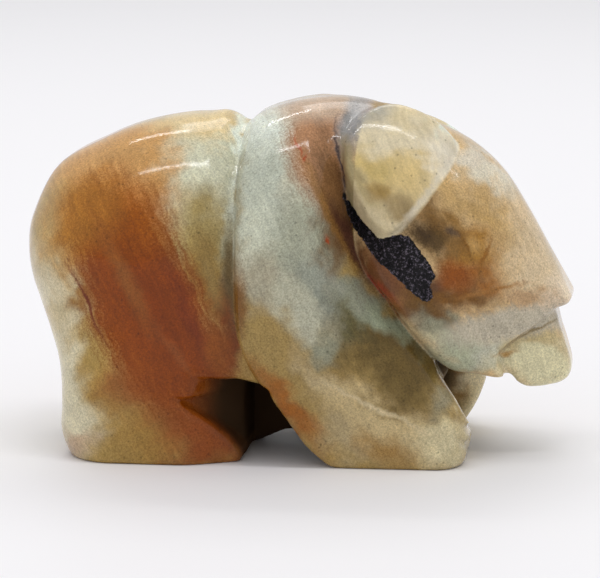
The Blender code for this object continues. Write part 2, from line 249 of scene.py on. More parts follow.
def head(x, y, z):
    """The head without its jaw: a rounded slab with flat cheeks and a round crown. Its half width is
    read off a curve through the stations, by the way down from the skull to the nose."""
    outline = outline_distance(x, z, curve(HEAD))
    height = z + HEAD_SLOPE * x
    aslant = (x - SKULL[0]) * CROWN_WAY[0] + (z - SKULL[1]) * CROWN_WAY[1]
    level = (x - SKULL[0]) * CHEEK_STRETCH
    down = aslant + CHEEK_SHARE * (level - aslant) * fade(height, *CHEEK_RUN)
    stations, half_widths = curve(list(zip(HEAD_STATIONS, HEAD_HALF_WIDTHS)), closed=False).T
    half = np.interp(down, stations, half_widths) - CROWN_DRAWN_IN * ease(height, *CROWN_DRAWN_IN_RUN)
    crown = ease(height, *CROWN_TURNED_RUN)
    lip = ease(x, *LIP_RUN) * fade(z, *LIP_HEIGHTS)
    on_cheek, at_crown, off_lip = HEAD_EDGE_IN
    at_nose = NOSE_EDGE + NOSE_EDGE_GROWTH * np.maximum(NOSE_END - x, 0.0)
    edge_in = np.minimum(on_cheek + half * at_crown * crown - off_lip * lip, at_nose)
    on_cheek, at_crown, off_lip = HEAD_EDGE_ACROSS
    edge_across = half * (on_cheek + at_crown * crown - off_lip * lip)
    return rounded_slab(outline, y, half, edge_in, edge_across)


# The lower jaw: its outline, half widths at stations forward, where it is fullest, and its edge
JAW = [
    (17.2, 9.6), (18.5, 13.2), (21.0, 14.3), (23.4, 14.4), (24.2, 13.4), (24.6, 12.0), (25.2, 10.3),
    (25.7, 8.4), (25.5, 7.2), (24.7, 6.6), (23.8, 6.4), (22.7, 6.3), (21.6, 6.4), (20.8, 6.9),
    (20.1, 7.7), (18.6, 8.3)]
JAW_STATIONS = [17.0, 19.5, 22.0, 24.0, 26.0]
JAW_HALF_WIDTHS = [6.2, 5.0, 3.9, 3.1, 2.6]
JAW_FULLEST = ((22.0, 10.0), 0.01)
JAW_EDGE = (1.0, 1.3)


def jaw(x, y, z):
    """The lower jaw: a rounded slab, narrower than the lips above it."""
    outline = outline_distance(x, z, curve(JAW))
    half = np.interp(x, JAW_STATIONS, JAW_HALF_WIDTHS) - swell(x, z, *JAW_FULLEST)
    return rounded_slab(outline, y, half, *JAW_EDGE)


# The ear's outline in its own plane: along the front rim from the low tip, and back from the rim
EAR_TIP = (9.13, 9.9, 21.31)
EAR_RIM = (0.509, -0.574, 0.641)
EAR_OUTWARD = (0.24, 0.81, 0.535)
EAR = [
    (0.5, 0.0), (0.2, 1.6), (0.6, 3.2), (1.6, 5.4), (3.1, 7.3), (5.2, 8.5), (8.0, 8.5), (10.4, 7.2),
    (11.5, 5.0), (11.9, 3.0), (11.8, 1.1), (11.2, 0.1), (9.0, -0.5), (6.4, -0.7), (3.0, -0.7)]
FAR_EAR_SHIFT = (1.2, 1.6)

# The ear's dome: its middle, height and fall, how much of its height counts towards the distance,
# since it slopes, its rounded rim and how deep its root goes into the head
EAR_MIDDLE = (6.3, 3.9)
EAR_DOME = 3.0
EAR_DOME_FALL = 0.05
EAR_DOME_SLOPE = 0.9
EAR_ROUNDING = 0.5
EAR_ROOT = 1.6

# The ear is worked out in a box alone, as middle and half length along, behind and out, and farther
# from it than that counts as a set distance
EAR_BOX = ((6.0, 8.5), (4.0, 7.0), (0.0, 5.0))
FAR_FROM_EAR = 3.0


def ear(x, y, z):
    """The left ear: a disc standing off the head, cut straight along its front rim, under a dome that
    falls away with the square of the distance from its middle."""
    outward, rim = np.array(EAR_OUTWARD), np.array(EAR_RIM)
    back = np.cross(rim, outward)
    dx, dy, dz = x - EAR_TIP[0], y - EAR_TIP[1], z - EAR_TIP[2]
    along, behind, out = (dx * axis[0] + dy * axis[1] + dz * axis[2] for axis in (rim, back, outward))
    near = np.full(along.shape, True)
    for value, (middle, half) in zip((along, behind, out), EAR_BOX):
        near &= np.abs(value - middle) < half
    along, behind, out = along[near], behind[near], out[near]
    outline = outline_distance(along, behind, curve(EAR, per_span=5))
    top = EAR_DOME - EAR_DOME_FALL * ((along - EAR_MIDDLE[0]) ** 2 + (behind - EAR_MIDDLE[1]) ** 2)
    shell = cut(outline, EAR_DOME_SLOPE * (top - out), EAR_ROUNDING)
    form = np.full(near.shape, FAR_FROM_EAR)
    form[near] = np.maximum(shell, -out - EAR_ROOT)
    return form


def ears(x, y, z):
    """The near ear, and the far one, which is set a little further forward and lower."""
    forward, down = FAR_EAR_SHIFT
    return np.minimum(ear(x, -y, z), ear(x - forward, y, z + down))


# The belly gap goes straight in from each flank to a thin arched web, but its rear end and the groin
# cut above it slope in: each leaves the flank at a place forward, and deepens from there
BELLY_GAP = [
    (-4.6, 7.5), (-1.9, 6.9), (0.3, 3.6), (1.4, 2.0), (3.7, 0.0), (6.0, -3.0), (-4.2, -3.0),
    (-4.3, 1.0), (-5.4, 2.5), (-7.0, 4.0), (-8.4, 5.0), (-10.1, 6.4), (-6.5, 6.3)]
GROIN_CUT = [(-8.6, 8.15), (-5.0, 7.7), (-1.9, 6.9), (-4.6, 5.6), (-6.8, 6.1), (-8.8, 6.6)]
WEB_ARCH = [(-4.4, -3.0), (-4.0, 0.0), (-3.0, 0.5), (-1.4, 1.2), (1.4, 1.4), (3.7, 0.0), (6.0, -3.0)]
WEB_HALF = 1.2
FLANK_HALF = 12.6
GAP_SLOPE = (-10.2, 1.1)
GAP_STRAIGHT_FROM = -4.3
GROIN_SLOPE = (-8.6, 1.5)
GAP_ROUNDING = 0.7
GROIN_ROUNDING = 1.2
ARCH_ROUNDING = 0.5


def belly_gap(form, x, y, z):
    """The form less the gap under its belly, which leaves a thin arched web along the middle."""
    gap_start, gap_fall = GAP_SLOPE
    gap_wall = np.where(x < GAP_STRAIGHT_FROM, FLANK_HALF - gap_fall * (x - gap_start), WEB_HALF)
    gap = np.maximum(outline_distance(x, z, np.array(BELLY_GAP)), gap_wall - np.abs(y))
    groin_start, groin_fall = GROIN_SLOPE
    groin_wall = np.maximum(FLANK_HALF - groin_fall * (x - groin_start), WEB_HALF)
    groin = np.maximum(outline_distance(x, z, np.array(GROIN_CUT)), groin_wall - np.abs(y))
    arch = outline_distance(x, z, np.array(WEB_ARCH))
    form = cut(cut(form, gap, GAP_ROUNDING), groin, GROIN_ROUNDING)
    return cut(form, arch, ARCH_ROUNDING)


# Saw slots between the fore paws and between the hind feet: half width, top and inner end. The fore
# one flares forward from a start, above the soles, faster into the near leg than into the far one
FORE_SLOT = (2.3, 7.2, 6.5)
FLARE_START = 10.5
FLARE_HEIGHTS = (1.0, 5.0)
NEAR_FLARE = 1.1
FAR_FLARE = 0.45
REAR_SLOT = (1.8, 8.0, -14.0)
FORE_SLOT_ROUNDING = 0.8
REAR_SLOT_ROUNDING = 1.0

# How far forward the cuts into the fore paws may reach, short of the jaw above them
PAWS_END = 18.0

# The far fore paw is a slab of its own, its front set back where the leg would end: outline, middle,
# half width, edges, how softly it meets the leg, and the place ahead of which and height below which
# the leg is ground away for it
FAR_PAW = [
    (11.0, 9.6), (14.3, 9.3), (16.5, 7.3), (17.2, 5.6), (17.0, 4.5), (16.5, 3.3), (15.7, 2.0),
    (14.9, 0.6), (14.2, -2.0), (10.0, -3.0), (9.5, 4.0)]
FAR_PAW_MIDDLE = 6.6
FAR_PAW_HALF = 4.6
FAR_PAW_EDGE = (1.4, 2.0)
FAR_PAW_MEETS = 0.6
FAR_PAW_CLEARED = (12.0, 7.0)
CLEARED_ROUNDING = 0.8

# Three saw cuts that part the toes of the near fore paw, each from its top to its foot: their width
# and depth, how far out from the middle they begin, and how they fade in at the top and out at the foot
TOE_CUTS = [((15.7, 6.2), (17.0, 4.4)), ((15.6, 4.9), (17.0, 3.0)), ((15.2, 3.5), (16.8, 1.5))]
TOE_CUT_WIDTH = 0.55
TOE_CUT_DEPTH = 0.45
TOE_CUT_ACROSS = (4.0, 6.0)
TOE_CUT_TOP = (-0.3, 0.6)
TOE_CUT_FOOT = 1.0


def toe_groove(x, z, top, foot):
    """How deep a slanting saw cut goes at (x, z): a bell curve across it, fading out at its ends."""
    (tx, tz), (fx, fz) = top, foot
    length = np.hypot(fx - tx, fz - tz)
    across = ((x - tx) * (tz - fz) + (z - tz) * (fx - tx)) / length
    along = ((x - tx) * (fx - tx) + (z - tz) * (fz - tz)) / length
    ends = ease(along, *TOE_CUT_TOP) * fade(along, length, length + TOE_CUT_FOOT)
    return TOE_CUT_DEPTH * np.exp(-((2 * across / TOE_CUT_WIDTH) ** 2)) * ends


def paws(form, x, y, z):
    """The form with its toes cut, its far fore paw put on and its four feet parted by two slots."""
    for top, foot in TOE_CUTS:
        form = form + toe_groove(x, z, top, foot) * ease(-y, *TOE_CUT_ACROSS)
    cleared_from, cleared_below = FAR_PAW_CLEARED
    cleared = np.maximum(np.maximum(cleared_from - x, x - PAWS_END), z - cleared_below)
    form = cut(form, np.maximum(cleared, -y), CLEARED_ROUNDING)
    far_paw = rounded_slab(
        outline_distance(x, z, curve(FAR_PAW)), y - FAR_PAW_MIDDLE, FAR_PAW_HALF, *FAR_PAW_EDGE)
    form = join(form, far_paw, FAR_PAW_MEETS)
    half, top, back = FORE_SLOT
    flare = np.where(y < 0, NEAR_FLARE, FAR_FLARE)
    half = half + flare * np.maximum(x - FLARE_START, 0.0) * ease(z, *FLARE_HEIGHTS)
    fore_slot = np.maximum(np.maximum(back - x, x - PAWS_END), z - top)
    form = cut(form, np.maximum(fore_slot, np.abs(y) - half), FORE_SLOT_ROUNDING)
    half, top, front = REAR_SLOT
    rear_slot = np.maximum(np.maximum(np.abs(y) - half, z - top), x - front)
    return cut(form, rear_slot, REAR_SLOT_ROUNDING)


# The ears melt into the skull behind and above, and stand clear of it in front and below
EAR_MELT = (0.3, 2.2, 23.5, 27.5)
EAR_MELT_SLOPE = 0.6

# Radii over which the two halves, the head and the jaw melt together, and the rounding of the soles
HALVES_MEET = 0.6
HEAD_MEETS = 0.5
JAW_MEETS = 0.4
SOLE_ROUNDING = 0.4


def carving(x, y, z):
    """The whole bear as a field in drawn units, negative inside the stone, its feet not yet sawn flat."""
    form = join(hindquarters(x, y, z), forequarters(x, y, z), HALVES_MEET)
    form = join(form, head(x, y, z), HEAD_MEETS)
    form = join(form, jaw(x, y, z), JAW_MEETS)
    form = join(form, ears(x, y, z), rising(z - EAR_MELT_SLOPE * x, *EAR_MELT))
    return paws(belly_gap(form, x, y, z), x, y, z)


# The stone's beds run through it from flank to flank, a little turned and tilted. These are the ways
# across and up its bedding
ACROSS_BEDDING = (0.9925, 0.122, 0.0)
UP_BEDDING = (-0.021, 0.172, 0.985)


def side_view(x, y, z):
    """Where a point lies across and up the bedding: its dot products with the two ways."""
    across = ACROSS_BEDDING[0] * x + ACROSS_BEDDING[1] * y
    up = UP_BEDDING[2] * z + UP_BEDDING[1] * y + UP_BEDDING[0] * x
    return across, up


# The pocket of dark matrix under the near ear: its outline across and up the bedding, the box that
# holds it, as middle and half length each way, its depth, how soft its edge is, where it ends towards
# the bear's middle, and how it fades where the ear begins
MATRIX = [
    (3.8, 23.2), (4.2, 21.3), (4.8, 20.0), (5.6, 18.8), (6.4, 17.6), (7.5, 16.3), (9.1, 14.9),
    (11.1, 13.2), (12.1, 13.5), (11.9, 14.7), (12.4, 15.5), (11.9, 16.6), (10.9, 18.0), (9.8, 19.2),
    (8.7, 19.4), (7.6, 19.5), (6.7, 20.3), (6.0, 21.5), (5.1, 22.9)]
MATRIX_BOX = ((8.6, 5.0), (18.2, 5.5))
MATRIX_DEPTH = 0.35
MATRIX_EDGE = (-0.5, 0.1)
MATRIX_INNER_END = (-5.0, -4.0)
CLEAR_OF_EAR = (0.0, 0.15)

# Ripples, as wavelength, number of waves and seed: the waves of a tumbler's polish, which fade out
# above the flat soles, and the pitted floor of the matrix pocket, as shares of its depth. Each wave's
# own length is spread about the ripple's
POLISH_WAVES = (9.0, 12, 3)
POLISH_WAVE_DEPTH = 0.05
ABOVE_SOLES = (0.5, 3.0)
MATRIX_PITS = (1.1, 16, 5)
MATRIX_FLOOR = 0.6
MATRIX_PIT_SHARE = 0.4
WAVELENGTH_SPREAD = (0.7, 1.4)


def ripple(x, y, z, wavelength, waves, seed):
    """Sum of sine waves whose directions, lengths and starts are drawn at random, divided by the root of
    their number: mostly between -1 and 1."""
    rng = np.random.default_rng(seed)
    total = 0.0
    for _ in range(waves):
        way = rng.normal(size=3)
        length = wavelength * rng.uniform(*WAVELENGTH_SPREAD)
        way *= 2 * np.pi / (length * np.linalg.norm(way))
        total = total + np.sin(way[0] * x + way[1] * y + way[2] * z + rng.uniform(0, 2 * np.pi))
    return total / np.sqrt(waves)


def matrix_pocket(x, y, z):
    """How deep the rough matrix lies below the polish: its depth inside the outline, fading over its
    edge, and 0 past its inner end and on the ear."""
    x, y, z = np.broadcast_arrays(x, y, z)
    u, v = side_view(x, y, z)
    near = y < MATRIX_INNER_END[1]
    for value, (middle, half) in zip((u, v), MATRIX_BOX):
        near &= np.abs(value - middle) < half
    edge = outline_distance(u[near], v[near], curve(MATRIX))
    bare = ease(ears(x[near], y[near], z[near]), *CLEAR_OF_EAR)
    depth = np.zeros(x.shape)
    depth[near] = MATRIX_DEPTH * fade(edge, *MATRIX_EDGE) * fade(y[near], *MATRIX_INNER_END) * bare
    return depth


def bear(x, y, z):
    """The carving with the slight waves of its polish, its rough matrix pocket and its flat soles."""
    form = carving(x, y, z) + POLISH_WAVE_DEPTH * ripple(x, y, z, *POLISH_WAVES) * ease(z, *ABOVE_SOLES)
    rough = MATRIX_FLOOR + MATRIX_PIT_SHARE * ripple(x, y, z, *MATRIX_PITS)
    return cut(form + matrix_pocket(x, y, z) * rough, z, SOLE_ROUNDING)


# The skin is traced on a grid of this step over this box
GRID_STEP = 0.29
DRAWN_LOW = (-28.0, -15.0, -2.0)
DRAWN_HIGH = (28.0, 15.0, 35.0)


def skin(step):
    """The carving's surface as points in drawn units and faces: where the field passes through 0."""
    x, y, z = (np.arange(low, high, step) for low, high in zip(DRAWN_LOW, DRAWN_HIGH))
    field = bear(x[:, None, None], y[None, :, None], z[None, None, :])
    grid = openvdb.FloatGrid()
    grid.background = float(field.max())
    grid.copyFromArray(np.ascontiguousarray(field, dtype=np.float32))
    points, triangles, quads = grid.convertToPolygons(isovalue=0.0, adaptivity=0.0)
    points = points * step + (x[0], y[0], z[0])
    return points, triangles.tolist() + quads.tolist()


# Places where shade is painted into the colour: the belly gap, from just outside its outlines and in from
# the flanks, and the slot between the fore paws up to the throat, by its places, heights and half width
GAP_EDGE = (-0.3, 0.9)
GAP_IN_FROM_FLANK = (8.0, 12.2)
SLOT_BACK = (6.0, 8.0)
SLOT_FRONT = (13.2, 16.0)
SLOT_FLOOR = (3.0, 5.5)
SLOT_TOP = (10.5, 11.5)
SLOT_SIDES = (5.0, 7.0)
SLOT_SHARE = 0.95


def painted_shade_places(x, y, z):
    """How much shade is painted: 1 deep in the belly gap, nearly 1 in the slot between the fore paws, and
    0 on the open stone.
    """
    outlines = (np.array(BELLY_GAP), np.array(GROIN_CUT))
    edge = np.minimum(*(outline_distance(x, z, outline) for outline in outlines))
    gap = fade(edge, *GAP_EDGE) * fade(np.abs(y), *GAP_IN_FROM_FLANK)
    slot = ease(x, *SLOT_BACK) * fade(x, *SLOT_FRONT) * ease(z, *SLOT_FLOOR) * fade(z, *SLOT_TOP)
    return np.maximum(gap, SLOT_SHARE * slot * fade(np.abs(y), *SLOT_SIDES))


def set_attribute(mesh, name, values):
    """Gives every point of the mesh a number, which the material reads by name."""
    mesh.attributes.new(name, "FLOAT", "POINT").data.foreach_set("value", values.astype(np.float32))


drawn, faces = skin(GRID_STEP)
low, high = drawn.min(axis=0), drawn.max(axis=0)
cad_low, cad_high = (np.array(corner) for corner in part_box("bear"))
points = cad_low + (drawn - low) * (cad_high - cad_low) / (high - low)
carved = bpy.data.meshes.new("carved_bear")
carved.from_pydata(points.tolist(), [], faces)
carved.shade_smooth()
dx, dy, dz = drawn.T
fore_distance = forequarters(dx, dy, dz)
set_attribute(carved, "ear", ears(dx, dy, dz))
set_attribute(carved, "head", np.minimum(head(dx, dy, dz), jaw(dx, dy, dz)) - fore_distance)
set_attribute(carved, "hind", hindquarters(dx, dy, dz) - fore_distance)
set_attribute(carved, "matrix", matrix_pocket(dx, dy, dz) / MATRIX_DEPTH)
# How much shade is painted into the colour, in the belly gap and in the slot between the fore paws
set_attribute(carved, "deep", painted_shade_places(dx, dy, dz))
bear_stone = bpy.data.objects.new("bear_stone", carved)
bpy.context.scene.collection.objects.link(bear_stone)
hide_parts("bear")
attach(bear_stone, "root")


# Amazonite in its mixed, banded form, tumbled to a gloss: cream, ochre and rust beds beside pale
# blue-green feldspar, all slightly see-through, with a fine mineral grain and, under the near ear,
# a pocket of black biotite matrix that takes no polish, its glints painted into its colour as pale
# flakes.


def linear(sheet):
    """An sRGB hex colour as linear RGB with alpha 1."""
    parts = [int(sheet[i:i + 2], 16) / 255 for i in (1, 3, 5)]
    return (*(c / 12.92 if c <= 0.04045 else ((c + 0.055) / 1.055) ** 2.4 for c in parts), 1.0)


def node(tree, kind, inputs=None, **settings):
    """Adds a node: settings are its own, and inputs gives each socket a value, another node's output,
    or another node, whose first output is meant."""
    made = tree.nodes.new(kind)
    for key, value in settings.items():
        setattr(made, key, value)
    for socket, value in (inputs or {}).items():
        if isinstance(value, bpy.types.Node):
            value = value.outputs[0]
        if isinstance(value, bpy.types.NodeSocket):
            tree.links.new(value, made.inputs[socket])
        else:
            made.inputs[socket].default_value = value
    return made


# Broad beds of each carved part, a few of them painted shade, laid over each other in this order: the
# centre across and up the bedding in mm, half lengths, turn in degrees, softness and colour
BEDS_AND_PAINTED_SHADE = {
    "hind": [
        ((-14.0, 12.0), (30.0, 30.0), 0, 0.1, "#A98C50"),
        ((-23.6, 9.6), (3.6, 8.4), 0, 0.45, "#D2C7A8"),
        ((-20.9, 3.2), (2.6, 4.4), 0, 0.6, "#CFC6A8"),
        ((-20.6, 0.2), (1.6, 1.3), 0, 0.6, "#BFA587"),
        ((-17.8, 6.0), (2.2, 2.6), 0, 0.8, "#AA8A48"),
        ((-13.6, 0.6), (3.6, 2.2), 0, 0.8, "#9E7A3C"),
        ((-12.8, 5.4), (4.4, 3.0), 0, 0.7, "#905220"),
        ((-8.6, 0.6), (4.4, 3.4), 0, 0.6, "#8C4A1C"),
        ((-16.8, 26.0), (8.0, 5.4), -14, 0.35, "#C2945A"),
        ((-22.4, 19.6), (1.8, 3.6), 0, 0.7, "#B8955C"),
        ((-19.2, 20.6), (3.2, 4.2), -20, 0.5, "#A87028"),
        ((-19.8, 14.0), (0.8, 4.2), -64, 0.7, "#98703A"),
        ((-22.2, 12.2), (1.3, 2.4), 0, 0.8, "#C4B48E"),
        ((-8.0, 24.6), (4.4, 6.6), 10, 0.4, "#CAC9B0"),
        ((-8.4, 19.0), (2.8, 4.0), 22, 0.6, "#A08C58"),
        ((-7.8, 15.0), (2.2, 3.8), 20, 0.6, "#957434"),
        ((-8.6, 30.2), (5.6, 2.2), 0, 0.7, "#D6BE8C"),
        ((-5.1, 25.0), (1.1, 8.0), 0, 0.6, "#E0E5D6"),
        ((-5.4, 17.4), (0.9, 3.4), 0, 0.8, "#9A9474"),
        # Darker along the seam behind the shoulder: painted shade of the groove
        ((-5.6, 13.0), (0.8, 2.6), 0, 0.8, "#785426"),
        ((-6.5, 10.0), (1.5, 4.2), 5, 0.6, "#7C4218"),
    ],
    "fore": [
        ((0.0, 12.0), (30.0, 30.0), 0, 0.1, "#9E844E"),
        ((-2.6, 25.5), (4.2, 11.0), 4, 0.35, "#B7BBAB"),
        ((-3.0, 30.2), (3.4, 3.0), 0, 0.7, "#D8DDD0"),
        ((-3.4, 15.6), (2.2, 2.6), 0, 0.7, "#A59C84"),
        ((0.0, 22.8), (2.0, 3.6), 12, 0.7, "#C0BDA8"),
        ((0.6, 17.6), (3.0, 5.0), 16, 0.6, "#A6A792"),
        ((-4.0, 19.6), (1.2, 3.0), 0, 0.8, "#C4C6B2"),
        ((0.0, 12.6), (3.0, 2.0), -40, 0.7, "#B4B29C"),
        ((3.6, 13.4), (4.4, 1.8), -44, 0.6, "#8F9284"),
        ((2.7, 9.8), (1.6, 1.4), 0, 0.7, "#90907A"),
        ((-1.4, 3.2), (4.6, 1.1), -54, 0.8, "#985C20"),
        ((2.6, 6.0), (3.4, 1.2), -42, 0.8, "#B4A17A"),
        ((4.4, 0.6), (2.6, 2.2), 0, 0.8, "#AC9A74"),
        ((8.8, 2.0), (7.0, 2.6), -24, 0.5, "#C2AD80"),
        ((7.4, 0.2), (2.2, 1.6), 0, 0.8, "#A07E48"),
        ((13.4, 0.2), (3.0, 1.8), 0, 0.8, "#CEC29C"),
        # The dark olive hollow of the foreleg under the cheek: olive stone, darkened further by painted
        # shade
        ((8.3, 8.4), (5.2, 2.8), -38, 0.6, "#635028"),
        ((5.6, 11.0), (3.0, 1.2), -42, 0.6, "#615C3A"),
        ((7.8, 9.4), (3.2, 1.2), -36, 0.8, "#5A4720"),
        ((7.2, 11.9), (3.2, 1.2), -44, 0.6, "#888E76"),
        ((6.0, 13.6), (1.4, 1.4), 0, 0.8, "#80806E"),
        ((16.2, 6.0), (1.8, 5.0), 25, 0.6, "#E2D4AE"),
        ((13.2, 4.2), (1.2, 1.6), 0, 0.8, "#8E8468"),
        ((14.4, 6.8), (1.0, 1.8), 20, 0.7, "#98703A"),
        ((2.7, 18.0), (1.1, 3.0), 14, 0.7, "#7C6A50"),
        ((3.0, 23.0), (1.6, 5.2), 12, 0.5, "#74502F"),
        ((4.6, 29.8), (1.2, 3.4), -14, 0.5, "#A5A2A6"),
    ],
    "head": [
        ((18.0, 20.0), (30.0, 30.0), 0, 0.1, "#C8AA7C"),
        ((4.6, 29.3), (1.8, 3.8), 0, 0.5, "#A5A2A6"),
        ((22.5, 17.0), (5.5, 2.4), -58, 0.7, "#D3BD9A"),
        ((24.6, 13.6), (2.0, 2.0), 0, 0.8, "#DCCAB0"),
        ((21.4, 13.8), (2.0, 1.0), 0, 0.8, "#B4946E"),
        ((17.6, 24.6), (2.6, 1.2), -45, 0.7, "#D5CCB6"),
        ((15.8, 26.6), (1.6, 1.0), -30, 0.8, "#D2C8B4"),
        ((16.8, 21.0), (3.4, 1.2), -40, 0.9, "#BC9A62"),
        ((15.9, 17.4), (2.3, 2.0), -20, 0.7, "#9C702E"),
        ((17.2, 15.0), (1.6, 1.4), 0, 0.9, "#986226"),
        ((13.8, 18.2), (1.6, 1.5), 0, 0.8, "#7E5824"),
        ((11.8, 20.4), (2.2, 1.8), 0, 0.8, "#745428"),
        ((9.2, 14.2), (5.4, 2.2), -44, 0.4, "#6C4428"),
        ((12.6, 13.8), (2.2, 1.4), -20, 0.8, "#543828"),
        ((14.6, 13.2), (3.4, 1.1), 4, 0.7, "#714A18"),
        ((11.4, 12.2), (2.8, 1.1), -30, 0.7, "#68491F"),
        ((9.4, 13.2), (1.2, 1.0), 0, 0.8, "#835A30"),
        ((12.6, 10.6), (2.8, 0.8), -10, 0.7, "#746C56"),
        ((14.6, 8.9), (4.8, 1.6), -10, 0.6, "#A0A288"),
        ((17.4, 8.6), (1.4, 1.2), 0, 0.8, "#B8B6A2"),
        ((21.8, 11.8), (2.4, 0.9), 16, 0.8, "#C8B49C"),
        ((22.2, 7.0), (4.2, 2.9), 0, 0.5, "#D6CEA8"),
        # Darker at the top of the jaw: painted shade under the upper lip
        ((21.0, 9.4), (3.0, 0.7), 20, 0.8, "#B8A67A"),
    ],
    "ear": [
        ((10.0, 25.0), (30.0, 30.0), 0, 0.1, "#D6C6A0"),
        ((9.8, 24.4), (3.4, 3.0), 0, 0.8, "#CFB780"),
        ((7.2, 25.6), (1.4, 1.6), 10, 0.9, "#C8B072"),
        ((9.2, 28.2), (3.2, 1.0), -8, 0.8, "#DACDAE"),
        ((5.2, 24.4), (0.9, 2.6), 20, 0.8, "#A9986E"),
        ((7.2, 22.9), (1.0, 1.1), 0, 0.9, "#9C8048"),
        ((8.4, 21.0), (1.6, 1.2), 0, 0.9, "#A08A60"),
        ((13.5, 26.4), (3.0, 1.2), -55, 0.9, "#E4DBC6"),
        ((6.6, 30.4), (1.8, 1.2), 0, 0.8, "#B4AE9E"),
        ((14.4, 29.5), (1.8, 1.0), 0, 0.5, "#D8E0D4"),
    ],
}

# Bands, streaks and spots with a frayed edge, a few of them painted shade or painted highlight, laid
# over the beds: the part that they show on, and then the same as a bed
STAINS_AND_PAINTED_LIGHT = [
    ("hind", (-13.9, 12.4), (10.4, 5.05), -63, 0.3, "#8F4606"),
    ("hind", (-15.2, 20.6), (3.8, 3.0), -60, 0.7, "#9A540A"),
    ("hind", (-18.9, 21.4), (2.4, 2.8), -40, 0.7, "#A87028"),
    ("hind", (-12.6, 12.0), (9.0, 3.2), -62, 1.0, "#7E3806"),
    ("hind", (-19.5, 12.9), (3.3, 0.12), -62, 1.0, "#6E2C10"),
    ("hind", (-9.6, 10.8), (5.6, 0.7), -66, 1.0, "#78340F"),
    ("hind", (-15.9, 15.6), (4.2, 0.6), -64, 1.0, "#8C5220"),
    ("hind", (-11.3, 8.6), (2.6, 0.35), -56, 1.0, "#86461A"),
    ("hind", (-7.6, 9.0), (1.2, 2.2), 6, 0.7, "#8A4A14"),
    ("hind", (-8.3, 16.4), (0.8, 3.0), 16, 0.7, "#907642"),
    # Darker on both sides of the seam behind the shoulder: painted shade of the groove
    ("fore", (-5.7, 13.2), (0.7, 2.8), 0, 0.8, "#7E5628"),
    ("hind", (-6.3, 15.6), (0.5, 3.6), 3, 0.9, "#6A5632"),
    ("fore", (1.9, 27.2), (3.1, 5.2), 8, 0.4, "#A37856"),
    ("fore", (1.8, 31.4), (4.2, 1.3), 0, 0.8, "#C2A890"),
    ("fore", (3.1, 23.2), (1.3, 4.4), 12, 0.7, "#7E5A38"),
    ("fore", (4.7, 29.6), (1.1, 2.8), -10, 0.6, "#8C8A88"),
    ("fore", (3.2, 20.4), (4.6, 0.5), -62, 0.9, "#9A7038"),
    ("fore", (5.2, 17.8), (5.4, 0.7), -60, 0.6, "#5A3A2C"),
    ("fore", (0.0, 27.2), (0.12, 0.9), 12, 1.0, "#A65634"),
    ("fore", (0.5, 25.9), (0.14, 0.4), -20, 1.0, "#A04C2A"),
    ("fore", (2.3, 19.1), (0.16, 0.4), 20, 1.0, "#A84A28"),
    ("fore", (4.7, 24.4), (0.7, 3.2), 8, 0.5, "#A4956E"),
    ("fore", (3.7, 25.8), (0.1, 3.2), 6, 1.0, "#483C3C"),
    ("fore", (7.0, 3.6), (4.4, 0.18), -26, 1.0, "#CDBB94"),
    ("head", (14.1, 15.3), (1.8, 1.3), -10, 0.6, "#8A4A0C"),
    ("head", (10.9, 19.3), (1.7, 1.0), -20, 0.7, "#4C3614"),
    ("head", (12.2, 18.6), (0.7, 1.1), 10, 0.7, "#5A431F"),
    ("head", (13.6, 20.8), (1.2, 0.5), -30, 0.9, "#8E6A36"),
    ("head", (13.5, 19.6), (0.6, 0.35), -30, 0.9, "#5A4632"),
    ("head", (13.8, 18.0), (0.5, 0.8), 20, 0.8, "#8A6634"),
    ("head", (15.6, 18.3), (0.6, 0.9), 30, 0.8, "#B08A50"),
    ("head", (14.9, 18.2), (1.4, 0.14), -60, 1.0, "#80561E"),
    ("head", (16.7, 17.0), (1.5, 0.14), 78, 1.0, "#8A5A1E"),
    ("head", (17.4, 14.2), (2.6, 0.2), 14, 1.0, "#9A6A32"),
    ("head", (6.8, 14.7), (1.8, 0.4), -44, 1.0, "#92402A"),
    ("head", (19.2, 11.0), (5.8, 1.5), 9, 0.4, "#B9AF9A"),
    # A thin darker line under the lip: painted shadow of the upper lip
    ("head", (20.8, 10.0), (2.8, 0.16), 31, 0.9, "#8E7C58"),
    ("head", (19.0, 8.2), (0.7, 0.25), 0, 1.0, "#B08A50"),
    # Pale lines along the ear's front rim: painted highlight
    ("ear", (13.2, 25.7), (2.2, 0.32), 56, 1.0, "#E0D6C0"),
    ("ear", (10.5, 21.9), (2.6, 0.32), 50, 1.0, "#D8CCB2"),
]

# Before the beds are laid, the bedding is swayed by ripples: their length, how far they sway it, and the
# seed of those across it, which the next one follows for those up it
SWAYS = [(9.0, 0.7, 21), (2.5, 0.4, 23), (0.9, 0.2, 25)]
SWAY_WAVES = 16


def bed_colours(x, y, z, beds):
    """The beds' colour at each point: each bed covers those before it by 1 inside its turned ellipse,
    fading to 0 outside over its softness, after the bedding has been swayed."""
    u, v = side_view(x, y, z)
    for wavelength, sway, seed in SWAYS:
        u = u + sway * ripple(x, y, z, wavelength, SWAY_WAVES, seed)
        v = v + sway * ripple(x, y, z, wavelength, SWAY_WAVES, seed + 1)
    colours = np.ones((len(x), 4))
    for centre, reach, turn, softness, tint in beds:
        c, s = np.cos(np.radians(turn)), np.sin(np.radians(turn))
        du, dv = u - centre[0], v - centre[1]
        out = np.hypot((c * du + s * dv) / reach[0], (c * dv - s * du) / reach[1])
        amount = fade(out, 1 - softness, 1 + softness)
        colours += amount[:, None] * (np.array(linear(tint)) - colours)
    return colours


for name, beds in BEDS_AND_PAINTED_SHADE.items():
    layer = carved.attributes.new(f"beds_{name}", "FLOAT_COLOR", "POINT")
    layer.data.foreach_set("color", bed_colours(dx, dy, dz, beds).astype(np.float32).ravel())

